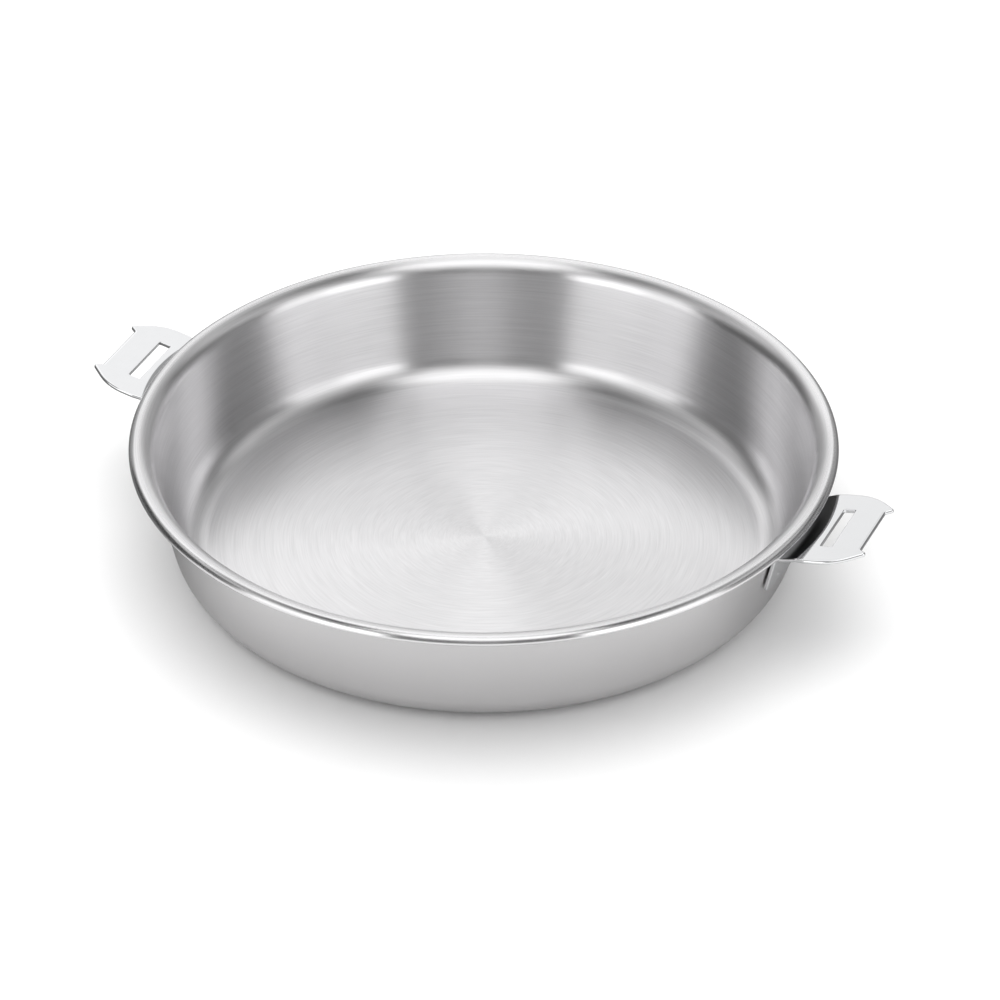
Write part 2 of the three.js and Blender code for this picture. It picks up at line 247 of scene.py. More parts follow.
class Studio(bpy.types.PropertyGroup):
    """Camera, floor and light."""

    camera_azimuth: angle("Camera azimuth", "Camera round the pan from -Y towards +X", 23.94)
    camera_elevation: angle("Camera elevation", "Camera above the horizon", 34.02)
    camera_distance: length("Camera distance", "Camera to the point that it looks at", 1.7345)
    camera_target: FloatVectorProperty(
        name="Camera target",
        description="Point on the floor that the camera looks at",
        default=(-0.006, 0.0293, 0.0),
        size=3,
        unit="LENGTH",
        subtype="XYZ",
    )
    lens: FloatProperty(name="Lens", description="Focal length in millimetres", default=153.3)
    floor_size: length("Floor size", "Side of the square floor", 8.0)
    floor_drop: length("Floor drop", "Floor below the base", 0.0001)
    floor_level: share("Floor level", "Grey of the floor for the light that it throws back", 0.80)
    floor_seen: share("Floor seen", "Grey of the floor for the camera", 0.98)
    floor_front: share("Floor front", "Grey of the floor mirrored in front of the pan", 0.80)
    floor_behind: share("Floor behind", "Grey of the floor mirrored behind the pan", 0.50)
    floor_beside: share("Floor beside", "Grey of the floor mirrored behind and beside the pan", 0.15)
    floor_dark: length("Floor dark", "Distance to the front up to which the mirrored floor is dark", -0.03)
    floor_light: length("Floor light", "Distance to the front from which the mirrored floor is pale", 0.11)
    floor_inner: length("Floor inner", "Distance to the side up to which it is pale behind the pan", 0.09)
    floor_outer: length("Floor outer", "Distance to the side from which it is dark there", 0.15)
    fill: strength("Fill", "Light of the room on matt surfaces from all sides", 0.40)
    top_fill: strength("Top fill", "More of it from above", 1.0)
    back_fill: strength("Back fill", "More of it from behind the pan", 1.1)
    room_level: share("Room level", "Brightness of the room between its panels", 0.36)
    bearing_blur: angle("Bearing blur", "Half the width of the panels' soft upright edges", 3.0)
    height_blur: angle("Height blur", "Half the width of the panels' soft level edges", 4.0)
    lamp_power: FloatProperty(
        name="Lamp power", description="Soft lamp overhead", default=12.0, unit="POWER"
    )
    lamp_width: length("Lamp width", "Lamp from left to right", 2.1)
    lamp_depth: length("Lamp depth", "Lamp from front to back", 1.8)
    lamp_height: length("Lamp height", "Lamp above the floor", 1.8)
    lamp_back: length("Lamp back", "Lamp behind the pan, away from the camera", 0.1)
    lamp_left: length("Lamp left", "Lamp to the left of the pan as the camera sees it", 0.15)


def arc(centre, radius, start, end, count):
    """Points of a circle at equal angles: centre plus radius times (cos, sin) from start to end."""
    turn = np.linspace(start, end, count)
    return centre + radius * np.column_stack((np.cos(turn), np.sin(turn)))


def cross(a, b):
    """Third component of the cross product of two plane vectors."""
    return a[0] * b[1] - a[1] * b[0]


def pan_section(pan):
    """Directions, bend centres and radii of the clad sheet's section, in radius and height.

    The lip bend and the tighter roll that turns the edge down have their centres under the lip's highest
    circle, as far inside the rim as the roll, its straight run and the rounded edge reach. The cove's
    centre lies on the height of its radius, where one line with the wall's lean touches both bends.
    """
    sheet = pan.outer_skin + pan.core + pan.cooking_skin + 2 * pan.bond_line
    lean = pan.wall_lean
    turn = pan.roll_turn
    roll_out = np.array((math.cos(turn), -math.sin(turn)))
    roll_up = np.array((math.sin(turn), math.cos(turn)))
    roll_reach = (pan.roll_radius - sheet / 2) * roll_up[0] + pan.roll_run * roll_out[0] + sheet / 2
    lip_centre = np.array((pan.rim_radius - roll_reach, pan.height - pan.lip_radius))
    roll_centre = np.array((lip_centre[0], pan.height - pan.roll_radius))
    lip_underside = pan.lip_radius - sheet
    apart = pan.cove_radius + lip_underside + (lip_centre[1] - pan.cove_radius) * math.sin(lean)
    cove_centre = np.array((lip_centre[0] - apart / math.cos(lean), pan.cove_radius))
    wall_out = np.array((math.cos(lean), -math.sin(lean)))
    return SimpleNamespace(
        sheet=sheet,
        lean=lean,
        lip_centre=lip_centre,
        lip_underside=lip_underside,
        cove_centre=cove_centre,
        cove_radius=pan.cove_radius,
        roll_centre=roll_centre,
        roll_underside=pan.roll_radius - sheet,
        roll_turn=turn,
        roll_up=roll_up,
        roll_run=roll_out * pan.roll_run,
        edge_centre=roll_centre + roll_up * (pan.roll_radius - sheet / 2) + roll_out * pan.roll_run,
        wall_out=wall_out,
        wall_up=np.array((math.sin(lean), math.cos(lean))),
        wall_foot=cove_centre + wall_out * pan.cove_radius,
    )


def sheet_line(section, depth, short_by=0.0):
    """Section line at a depth inside the outer face, from the axis to the lip.

    It runs flat along the base, round the cove, straight up the wall, round the lip bend and over the
    roll, each bend an arc about its own centre. The straight run at its end stops short by a share.
    """
    up = math.pi / 2
    floor = np.linspace((0.0, depth), (section.cove_centre[0], depth), FLOOR_RINGS, endpoint=False)
    cove_radius = section.cove_radius - depth
    cove = arc(section.cove_centre, cove_radius, -up, -section.lean, BEND_RINGS)
    lip = arc(section.lip_centre, section.lip_underside + depth, math.pi - section.lean, up, BEND_RINGS)
    wall = np.linspace(cove[-1], lip[0], BEND_RINGS // 2)[1:-1]
    roll = arc(section.roll_centre, section.roll_underside + depth, up, up - section.roll_turn, ROLL_RINGS)
    end = roll[-1:] + section.roll_run * (1 - short_by)
    return np.vstack((floor, cove, wall, lip, roll[1:], end))


def revolve(line, segments):
    """Closed surface of a section line that starts and ends on the axis, turned about Z.

    Each section point becomes a ring x = r cos t, y = r sin t with t in equal steps, and the two ends
    become poles. The map's first coordinate runs along the section and its second round the axis.
    """
    turn = np.arange(segments) * (2 * math.pi / segments)
    radius = line[1:-1, :1]
    height = line[1:-1, 1:] + 0 * turn
    rings = np.stack((radius * np.cos(turn), radius * np.sin(turn), height), axis=-1).reshape(-1, 3)
    poles = np.array(((0.0, 0.0, line[0, 1]), (0.0, 0.0, line[-1, 1])))
    column = np.arange(segments)
    after = (column + 1) % segments
    low = np.arange(len(line) - 3)[:, None] * segments
    high = low + segments
    quads = np.stack((low + column, low + after, high + after, high + column), axis=-1).reshape(-1, 4)
    pole = len(rings) + 0 * column
    last = len(rings) - segments
    caps = np.vstack((
        np.column_stack((pole, after, column)),
        np.column_stack((pole + 1, last + column, last + after)),
    ))
    along = np.concatenate(((0.0,), np.cumsum(np.hypot(*np.diff(line, axis=0).T))))
    along = along / along[-1]
    near = column / segments
    far = (column + 1) / segments
    middle = (near + far) / 2
    inner = along[1:-2, None] + 0 * near
    outer = along[2:-1, None] + 0 * near
    quad_map = np.stack((inner, near + 0 * inner, inner, far + 0 * inner, outer, far + 0 * inner, outer,
                         near + 0 * inner), axis=-1).reshape(-1, 2)
    first = np.column_stack((0 * near, middle, along[1] + 0 * near, far, along[1] + 0 * near, near))
    end = np.column_stack((1 + 0 * near, middle, along[-2] + 0 * near, near, along[-2] + 0 * near, far))
    return SimpleNamespace(
        points=np.vstack((rings, poles)),
        faces=quads.tolist() + caps.tolist(),
        map=np.vstack((quad_map, first.reshape(-1, 2), end.reshape(-1, 2))),
    )


def add_piece(name, points, faces, material, replaces, place_map=None):
    """Makes one smooth mesh at the origin, hangs it on the root body and hides the part it stands for."""
    mesh = bpy.data.meshes.new(name)
    mesh.from_pydata(points.tolist(), [], faces)
    mesh.materials.append(material)
    if place_map is not None:
        layer = mesh.uv_layers.new(name="sheet")
        layer.uv.foreach_set("vector", place_map.astype(np.float32).ravel())
    mesh.shade_smooth()
    mesh.set_sharp_from_angle(angle=SHARP_EDGE)
    mesh.validate()
    mesh.update()
    piece = bpy.data.objects.new(name, mesh)
    bpy.context.scene.collection.objects.link(piece)
    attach(piece, "root")
    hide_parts(replaces)
    return piece


def bracket_section(pan, bracket):
    """Section of the bracket at its middle, in radius and height: flange, bend, facet and crease.

    The bend's centre lies one outside bend radius below the facet's top face and outside the flange's
    back face, where two lines at those distances cross.
    """
    body = pan_section(pan)
    slope = bracket.facet_slope
    facet_out = np.array((math.cos(slope), math.sin(slope)))
    facet_up = np.array((-math.sin(slope), math.cos(slope)))
    crease = np.array((pan.rim_radius + bracket.crease_reach, pan.height - bracket.crease_drop))
    bend_outside = bracket.bend_radius + bracket.sheet
    facet_line = crease - facet_up * bend_outside
    flange_line = body.wall_foot + body.wall_out * (bracket.weld_gap + bend_outside)
    reach = cross(flange_line - facet_line, body.wall_up) / cross(facet_out, body.wall_up)
    bend_centre = facet_line + facet_out * reach
    flange_top = bend_centre - body.wall_out * bend_outside
    return SimpleNamespace(
        body=body,
        crease=crease,
        bend_outside=bend_outside,
        bend_centre=bend_centre,
        facet_foot=bend_centre + facet_up * bend_outside,
        flange_top=flange_top,
        flange_foot=flange_top - body.wall_up * bracket.flange_length,
    )


def soft_lower(a, b, softness):
    """The lower of two heights, rounded off where they are closer than a softness."""
    near = np.maximum(softness - np.abs(a - b), 0.0) / softness
    return np.minimum(a, b) - near**2 * softness / 4


def half_width(bracket, section, outward):
    """Half the width of the bracket's flat by distance outwards from the crease, without its rounded edge.

    It is straight between the bracket's corners.
    """
    stations = (section.flange_top[0] - section.crease[0], section.facet_foot[0] - section.crease[0], 0.0)
    widths = (bracket.flange_width / 2, bracket.facet_width / 2, bracket.tab_width / 2)
    return np.interp(outward, stations, widths) - bracket.edge_round


def grid_faces(rows, columns):
    """Quads between neighbouring rows and columns of a grid of points numbered row by row."""
    low = (np.arange(rows - 1)[:, None] * columns + np.arange(columns - 1)).reshape(-1, 1)
    return np.hstack((low, low + columns, low + columns + 1, low + 1))


def flange_and_facet(bracket, section):
    """Grid of the bracket's back and top face from the flange's lower edge to the flat of the tab.

    A flange or bend row is a circle about Z through its section point, and x = sqrt(r^2 - y^2). A facet
    row lies between the bend's end and a straight line across the tab, at the height of the lower of the
    facet's cone and the tab's plane. Each row spans the bracket's width there, and the lowest rows
    narrow on a quarter circle for the flange's corners.
    """
    across = np.linspace(-1.0, 1.0, BRACKET_COLUMNS + 1)
    tilt = bracket.tab_tilt
    inset = bracket.edge_round
    corner = bracket.flange_corner - inset
    corner_rise = corner * (1 - np.cos(np.linspace(0, math.pi / 2, CORNER_POINTS)))
    upper_rise = np.linspace(corner, bracket.flange_length - inset, FLANGE_ROWS)[1:-1]
    rise = np.concatenate((corner_rise, upper_rise)) + inset
    flange = section.flange_foot + rise[:, None] * section.body.wall_up
    bend_from = math.pi - section.body.lean
    bend_to = math.pi / 2 + bracket.facet_slope
    bend = arc(section.bend_centre, section.bend_outside, bend_from, bend_to, BRACKET_BEND_ROWS)
    line = np.vstack((flange, bend))
    out_x = (line[:, 0] - section.crease[0]) * math.cos(tilt)
    outward = out_x + (line[:, 1] - section.crease[1]) * math.sin(tilt)
    half = half_width(bracket, section, outward)
    cut = np.maximum(corner + inset - rise, 0.0)
    half[: len(rise)] -= corner - np.sqrt(corner**2 - cut**2)
    y = half[:, None] * across
    x = np.sqrt(line[:, :1] ** 2 - y**2)
    lower = np.stack((x, y, line[:, 1:] + 0 * y), axis=-1)
    climb = np.linspace(0.0, 1.0, FACET_ROWS)[1:, None]
    join = section.crease[0] + bracket.tab_start * math.cos(tilt)
    edge_x = (1 - climb) * x[-1, -1] + climb * join
    half = np.maximum(half_width(bracket, section, edge_x - section.crease[0]), half[-1])
    y = half * across
    x = (1 - climb) * x[-1] + climb * join
    cone = section.crease[1] + (np.hypot(x, y) - section.crease[0]) * math.tan(bracket.facet_slope)
    plane = section.crease[1] + (x - section.crease[0]) * math.tan(tilt)
    height = soft_lower(cone, plane, bracket.crease_softness)
    return np.concatenate((lower, np.stack((x, y, height), axis=-1)))


def filleted(corners):
    """Arc of each corner of a closed anticlockwise outline, from x, y and radius: tangent to both sides."""
    places = np.array([corner[:2] for corner in corners])
    before = np.roll(places, 1, axis=0) - places
    after = np.roll(places, -1, axis=0) - places
    before /= np.linalg.norm(before, axis=1, keepdims=True)
    after /= np.linalg.norm(after, axis=1, keepdims=True)
    arcs = []
    for place, back, on, (_, _, radius) in zip(places, before, after, corners):
        half = math.acos(np.dot(back, on)) / 2
        start = place + back * radius / math.tan(half)
        inwards = (back + on) / np.linalg.norm(back + on)
        centre = place + inwards * radius / math.sin(half)
        spoke = start - centre
        turn = math.copysign(math.pi - 2 * half, cross(on, back))
        begin = math.atan2(spoke[1], spoke[0])
        arcs.append(arc(centre, radius, begin, begin + turn, CORNER_POINTS))
    return arcs


def shares_of(line):
    """Share of a line's length at each of its points."""
    run = np.concatenate(((0.0,), np.cumsum(np.linalg.norm(np.diff(line, axis=0), axis=1))))
    return run / run[-1]


def at_shares(line, shares):
    """Points of a line at given shares of its length."""
    own = shares_of(line)
    return np.column_stack([np.interp(shares, own, line[:, k]) for k in range(line.shape[1])])


def moved_left(line, distance):
    """A line moved to its left, each point square to the chord between its neighbours."""
    chord = np.gradient(line, axis=0)
    chord /= np.linalg.norm(chord, axis=1, keepdims=True)
    return line + distance * np.column_stack((-chord[:, 1], chord[:, 0]))


def tab_rings(bracket, section):
    """Grid of the flat of the tab's top face between the slot and the outline, four rings wide.

    Slot and outline are split at the middles of matching corners, and moved in by the rounded edge.
    Points at equal shares of two matching stretches are joined by straight lines, and the two inner rings
    lie close to their ends, so that the flat between them stays flat in its shading.
    """
    inset = bracket.edge_round
    half = bracket.tab_width / 2
    tip = bracket.tab_length + bracket.horn_length
    side = (
        (bracket.tab_start, half, 0.0),
        (bracket.shoulder_start, half, bracket.shoulder_radius),
        (tip, bracket.horn_span / 2, bracket.horn_radius),
        (bracket.tab_length, bracket.notch_width / 2, bracket.notch_radius),
    )
    arcs = filleted([(x, -y, r) for x, y, r in side] + list(reversed(side)))
    middle = CORNER_POINTS // 2
    sides = (
        np.vstack((arcs[0][:1], arcs[1], arcs[2][: middle + 1])),
        np.vstack((arcs[2][middle + 1 :], arcs[3], arcs[4], arcs[5][: middle + 1])),
        np.vstack((arcs[5][middle + 1 :], arcs[6], arcs[7][:1])),
    )
    edge = moved_left(np.vstack(sides), inset)
    low_end = len(sides[0]) - 1
    high_start = low_end + len(sides[1])
    low_side = edge[: low_end + 1]
    outer_edge = edge[low_end : high_start + 1]
    high_side = edge[high_start:]
    flat_half = half - inset
    crease_y = np.linspace(flat_half, -flat_half, BRACKET_COLUMNS + 1)
    crease_side = np.column_stack((np.full(BRACKET_COLUMNS + 1, bracket.tab_start), crease_y))
    near = bracket.slot_inset - bracket.slot_round
    far = bracket.slot_inset + bracket.slot_width + bracket.slot_round
    end = bracket.slot_length / 2 + bracket.slot_round
    slot_corner = bracket.slot_corner + bracket.slot_round
    slot = filleted([(x, y, slot_corner) for x, y in ((near, -end), (far, -end), (far, end), (near, end))])
    slot_sides = [np.vstack((slot[i][middle:], slot[(i + 1) % 4][: middle + 1])) for i in range(4)]
    inner, outer = [], []
    for own, other in zip((low_side, outer_edge, high_side, crease_side), slot_sides):
        shares = shares_of(own)
        if own is not crease_side:
            shares = np.union1d(shares, shares_of(other))
        outer.append(at_shares(own, shares)[:-1])
        inner.append(at_shares(other, shares)[:-1])
    inner = np.vstack(inner + [inner[0][:1]])
    outer = np.vstack(outer + [outer[0][:1]])
    shares = np.array((0.0, RING_INSET, 1 - RING_INSET, 1.0)).reshape(-1, 1, 1)
    flat = inner + (outer - inner) * shares
    x = section.crease[0] + flat[..., 0] * math.cos(bracket.tab_tilt)
    z = section.crease[1] + flat[..., 0] * math.sin(bracket.tab_tilt)
    return np.stack((x, flat[..., 1], z), axis=-1)


def weld_places(bracket, section, lift):
    """Weld centres at a distance outside the wall, and their directions square to it.

    The welds lie on one circle about Z, evenly spaced and centred on the bracket.
    """
    row = section.flange_foot + section.body.wall_up * bracket.weld_rise
    row = row + section.body.wall_out * (lift - bracket.weld_gap)
    sideways = (np.arange(WELDS) - (WELDS - 1) / 2) * bracket.weld_pitch
    turn = np.arcsin(sideways / row[0])
    out, up = section.body.wall_out
    centres = np.column_stack((row[0] * np.cos(turn), row[0] * np.sin(turn), row[1] + 0 * turn))
    return centres, np.column_stack((out * np.cos(turn), out * np.sin(turn), up + 0 * turn))


def bracket_surface(pan, bracket):
    """Closed surface of one bracket, on the +X side, as points and faces.

    Its top face is the flange grid and the tab rings, joined where their points coincide. The under
    face is the top face moved one sheet along its normals, with a smooth dent (1 - (d / R)^2)^2 at each
    weld. Along every open edge a strip closes the two: a quarter circle out and down from the top face,
    and another one back in to the under face.
    """
    section = bracket_section(pan, bracket)
    strip = flange_and_facet(bracket, section)
    rings = tab_rings(bracket, section)
    strip_faces = grid_faces(*strip.shape[:2])
    ring_faces = grid_faces(*rings.shape[:2]) + strip.shape[0] * strip.shape[1]
    loose = np.vstack((strip.reshape(-1, 3), rings.reshape(-1, 3)))
    _, first, joined = np.unique(np.round(loose, 7), axis=0, return_index=True, return_inverse=True)
    top = loose[first]
    faces = joined.reshape(-1)[np.vstack((strip_faces, ring_faces))]
    corners = top[faces]
    face_normal = np.cross(corners[:, 2] - corners[:, 0], corners[:, 3] - corners[:, 1])
    normal = np.zeros_like(top)
    np.add.at(normal, faces.reshape(-1), np.repeat(face_normal, 4, axis=0))
    normal /= np.linalg.norm(normal, axis=1, keepdims=True)
    under = top - normal * bracket.sheet
    centres, _ = weld_places(bracket, section, bracket.weld_gap + bracket.sheet)
    apart = np.linalg.norm(under[:, None] - centres, axis=2) / bracket.dimple_radius
    dent = (np.maximum(1 - apart**2, 0.0) ** 2).sum(axis=1)
    under = under + normal * (bracket.dimple_depth * dent)[:, None]
    edges = np.stack((faces, np.roll(faces, -1, axis=1)), axis=-1).reshape(-1, 2)
    count = len(top)
    open_edges = edges[~np.isin(edges[:, 0] * count + edges[:, 1], edges[:, 1] * count + edges[:, 0])]
    along = np.zeros_like(top)
    run = top[open_edges[:, 1]] - top[open_edges[:, 0]]
    run /= np.linalg.norm(run, axis=1, keepdims=True)
    np.add.at(along, open_edges.reshape(-1), np.repeat(run, 2, axis=0))
    border = np.unique(open_edges)
    slot_edge = joined.reshape(-1)[strip.shape[0] * strip.shape[1] :][: rings.shape[1]]
    roundness = np.where(np.isin(border, slot_edge), bracket.slot_round, bracket.edge_round)[:, None]
    out = np.cross(along[border], normal[border])
    out *= roundness / np.linalg.norm(out, axis=1, keepdims=True)
    down = normal[border] * roundness
    turns = np.linspace(0.0, math.pi / 2, ROUND_ROWS)
    upper = [top[border] + out * math.sin(t) - down * (1 - math.cos(t)) for t in turns[1:]]
    lower = [under[border] + out * math.sin(t) + down * (1 - math.cos(t)) for t in turns[:0:-1]]
    points = np.vstack([top, under] + upper + lower)
    place = np.empty(count, dtype=int)
    place[border] = np.arange(len(border))
    rows = [np.arange(count)]
    rows += [2 * count + k * len(border) + place for k in range(len(upper) + len(lower))]
    rows.append(np.arange(count) + count)
    start, end = open_edges.T
    strips = [np.column_stack((a[end], a[start], b[start], b[end])) for a, b in zip(rows, rows[1:])]
    return points, np.vstack([faces, faces[:, ::-1] + count] + strips)


def nugget_surface(bracket):
    """Closed surface of a weld nugget along +Z, from the wall to the flange.

    It is a disc whose radius is drawn in by its waist times the sine of the way up.
    """
    low = bracket.weld_clearance
    high = bracket.weld_gap
    share_up = np.linspace(0.0, 1.0, NUGGET_RINGS)
    radius = bracket.weld_radius - bracket.weld_waist * np.sin(math.pi * share_up)
    side = np.column_stack((radius, low + (high - low) * share_up))
    line = np.vstack(((0.0, low), side, (0.0, high)))
    return revolve(line, NUGGET_SIDES)


def feed(tree, socket, operand):
    """Links a socket to an operand, or sets it where the operand is a number."""
    if isinstance(operand, bpy.types.NodeSocket):
        tree.links.new(operand, socket)
    else:
        socket.default_value = operand


def calculate(tree, operation, *operands):
    """Output of a Math node whose operands are sockets or numbers."""
    node = tree.nodes.new("ShaderNodeMath")
    node.operation = operation
    for socket, operand in zip(node.inputs, operands):
        feed(tree, socket, operand)
    return node.outputs["Value"]


def spread(tree, value, low, high):
    """Output of a Map Range node that takes 0 to 1 into low to high."""
    node = tree.nodes.new("ShaderNodeMapRange")
    tree.links.new(value, node.inputs["Value"])
    node.inputs["To Min"].default_value = low
    node.inputs["To Max"].default_value = high
    return node.outputs["Result"]


def shade(tree, value, dark, light):
    """Output of a colour mix from dark to light."""
    node = tree.nodes.new("ShaderNodeMix")
    node.data_type = "RGBA"
    tree.links.new(value, node.inputs["Factor"])
    node.inputs["A"].default_value = (*dark, 1.0)
    node.inputs["B"].default_value = (*light, 1.0)
    return node.outputs["Result"]


def noise(tree, vector, scale, detail, roughness=0.5):
    """Output of a Noise node, from 0 to 1."""
    node = tree.nodes.new("ShaderNodeTexNoise")
    tree.links.new(vector, node.inputs["Vector"])
    node.inputs["Scale"].default_value = scale
    node.inputs["Detail"].default_value = detail
    node.inputs["Roughness"].default_value = roughness
    return node.outputs["Fac"]


def object_place(tree):
    """Object coordinates."""
    return tree.nodes.new("ShaderNodeTexCoord").outputs["Object"]


def from_axis(tree):
    """Object coordinates and the distance from the Z axis."""
    split = tree.nodes.new("ShaderNodeSeparateXYZ")
    tree.links.new(object_place(tree), split.inputs["Vector"])
    x, y, z = split.outputs
    squares = calculate(tree, "MULTIPLY_ADD", x, x, calculate(tree, "MULTIPLY", y, y))
    return x, y, z, calculate(tree, "SQRT", squares)


def circle_lines(tree, around, across, detail):
    """Noise drawn out along circles about Z: slow with the bearing, fast with radius plus height."""
    x, y, z, radius = from_axis(tree)
    safe = calculate(tree, "MAXIMUM", radius, 1e-6)
    join = tree.nodes.new("ShaderNodeCombineXYZ")
    east = calculate(tree, "DIVIDE", x, safe)
    north = calculate(tree, "DIVIDE", y, safe)
    tree.links.new(calculate(tree, "MULTIPLY", east, around), join.inputs["X"])
    tree.links.new(calculate(tree, "MULTIPLY", north, around), join.inputs["Y"])
    out = calculate(tree, "ADD", radius, z)
    tree.links.new(calculate(tree, "MULTIPLY", out, across), join.inputs["Z"])
    return noise(tree, join.outputs["Vector"], 1.0, detail)


def ease(tree, value, low, high, ends=(0.0, 1.0)):
    """Output that eases from the first to the second of two numbers while a value runs from low to high."""
    node = tree.nodes.new("ShaderNodeMapRange")
    node.interpolation_type = "SMOOTHSTEP"
    tree.links.new(value, node.inputs["Value"])
    node.inputs["From Min"].default_value = low
    node.inputs["From Max"].default_value = high
    node.inputs["To Min"].default_value, node.inputs["To Max"].default_value = ends
    return node.outputs["Result"]


def by_height(tree, low, high, ends):
    """Output that eases from the first to the second of two numbers between two heights."""
    split = tree.nodes.new("ShaderNodeSeparateXYZ")
    tree.links.new(object_place(tree), split.inputs["Vector"])
    return ease(tree, split.outputs["Z"], low, high, ends)


def blend(tree, factor, low, high):
    """Output of a number mix from low to high, which are sockets or numbers."""
    node = tree.nodes.new("ShaderNodeMix")
    tree.links.new(factor, node.inputs["Factor"])
    feed(tree, node.inputs["A"], low)
    feed(tree, node.inputs["B"], high)
    return node.outputs["Result"]


def new_metal(name):
    """Material whose shader is a plain metal, and its node tree and shader."""
    material = bpy.data.materials.new(name)
    material.use_nodes = True
    tree = material.node_tree
    shader = tree.nodes["Principled BSDF"]
    shader.inputs["Metallic"].default_value = 1.0
    return material, tree, shader


def surface_detail(tree, shader, colour, blur, height, depth):
    """Links a colour, a blur as roughness and a height as bump. depth is the bump's depth in metres."""
    tree.links.new(colour, shader.inputs["Base Color"])
    tree.links.new(blur, shader.inputs["Roughness"])
    bump = tree.nodes.new("ShaderNodeBump")
    bump.inputs["Strength"].default_value = 1.0
    bump.inputs["Distance"].default_value = depth
    tree.links.new(height, bump.inputs["Height"])
    tree.links.new(bump.outputs["Normal"], shader.inputs["Normal"])


def darkened(tree, colour, factor):
    """Output of a colour made darker by a factor."""
    node = tree.nodes.new("ShaderNodeVectorMath")
    node.operation = "SCALE"
    tree.links.new(colour, node.inputs["Vector"])
    tree.links.new(factor, node.inputs["Scale"])
    return node.outputs["Vector"]


def tint(base, factor):
    """A colour made lighter or darker by a factor."""
    return tuple(min(channel * factor, 1.0) for channel in base)


def toned(tree, tone, base, contrast):
    """Output of a colour that a tone makes darker and lighter by a share."""
    return shade(tree, tone, tint(base, 1 - contrast), tint(base, 1 + contrast))


def drawn_out(tree, shader, amount):
    """Draws the shader's blur out along the section, square to the brush lines."""
    tangent = tree.nodes.new("ShaderNodeTangent")
    tangent.direction_type = "UV_MAP"
    tangent.uv_map = "sheet"
    shader.inputs["Anisotropic"].default_value = amount
    tree.links.new(tangent.outputs["Tangent"], shader.inputs["Tangent"])


def brushed_inside(finish, pan):
    """Steel brushed in circles: fine and broad lines in tone, gloss and height, glossier over the lip."""
    material, tree, shader = new_metal("brushed_inside")
    fine = circle_lines(tree, *FINE_BRUSHING, 1.0)
    broad = circle_lines(tree, *BROAD_BRUSHING, 1.0)
    tone = calculate(tree, "MULTIPLY_ADD", fine, 0.6, calculate(tree, "MULTIPLY", broad, 0.4))
    top = pan_section(pan).lip_centre[0]
    ends = (finish.inside_roughness, finish.lip_roughness)
    blur = ease(tree, from_axis(tree)[3], top - pan.roll_radius, top + pan.roll_radius / 2, ends)
    blur = calculate(tree, "ADD", blur, spread(tree, tone, -0.006, 0.006))
    steel = toned(tree, tone, finish.inside_colour, 0.16)
    surface_detail(tree, shader, steel, blur, tone, BRUSHING_DEPTH)
    drawn_out(tree, shader, finish.inside_brushing)
    return material


def satin_outside(finish, pan):
    """Smooth satin steel, fine even grain, slow clouds in its gloss, and painted shade under the lip."""
    material, tree, shader = new_metal("satin_outside")
    place = object_place(tree)
    clouds = noise(tree, place, OUTSIDE_CLOUDS, 3.0)
    grain = noise(tree, place, OUTSIDE_GRAIN, 1.0)
    tone = calculate(tree, "MULTIPLY_ADD", grain, 0.25, calculate(tree, "MULTIPLY", clouds, 0.75))
    rough = finish.outside_roughness
    blur = spread(tree, tone, rough - 0.02, rough + 0.02)
    # Painted shade: the colour is darkened from the top of the wall up over the lip's underside
    painted_shade_from = pan.height - pan.lip_radius
    painted_shade_to = pan.height - pan.roll_radius * 2
    painted_shade = by_height(tree, painted_shade_from, painted_shade_to, (1.0, finish.painted_lip_shade))
    steel = darkened(tree, toned(tree, tone, finish.outside_colour, 0.025), painted_shade)
    surface_detail(tree, shader, steel, blur, grain, GRAIN_DEPTH)
    return material


def rolled_core(finish):
    """Rolled aluminium with faint circular lines from its forming."""
    material, tree, shader = new_metal("rolled_core")
    lines = circle_lines(tree, *ROLLED_LINES, 3.0)
    rough = finish.core_roughness
    blur = spread(tree, lines, rough - 0.08, rough + 0.08)
    surface_detail(tree, shader, toned(tree, lines, finish.core_colour, 0.08), blur, lines, ROLLED_DEPTH)
    return material


def mirror_bracket(finish, pan, bracket):
    """Mirror-polished steel: faint clouds in its gloss, a slow ripple of the sheet, a satin flange."""
    material, tree, shader = new_metal("mirror_bracket")
    place = object_place(tree)
    clouds = noise(tree, place, BRACKET_CLOUDS, 3.0)
    ripple = noise(tree, place, BRACKET_RIPPLE, 1.0)
    section = bracket_section(pan, bracket)
    low, high = section.flange_top[1], section.facet_foot[1]
    blur = by_height(tree, low, high, (finish.outside_roughness, finish.bracket_roughness))
    blur = calculate(tree, "ADD", blur, spread(tree, clouds, -0.02, 0.03))
    satin = by_height(tree, low, high, (finish.flange_shade, 1.0))
    steel = darkened(tree, toned(tree, clouds, finish.bracket_colour, 0.02), satin)
    surface_detail(tree, shader, steel, blur, ripple, RIPPLE_DEPTH)
    return material


def weld_metal(finish):
    """Fused steel with a heat tint in patches and a grainy skin."""
    material, tree, shader = new_metal("weld_metal")
    place = object_place(tree)
    patches = noise(tree, place, WELD_PATCHES, 3.0)
    grain = noise(tree, place, WELD_GRAIN, 2.0)
    rough = finish.weld_roughness
    blur = spread(tree, patches, rough - 0.1, rough + 0.1)
    steel = shade(tree, patches, finish.weld_colour, finish.weld_tint)
    surface_detail(tree, shader, steel, blur, grain, WELD_DEPTH)
    return material


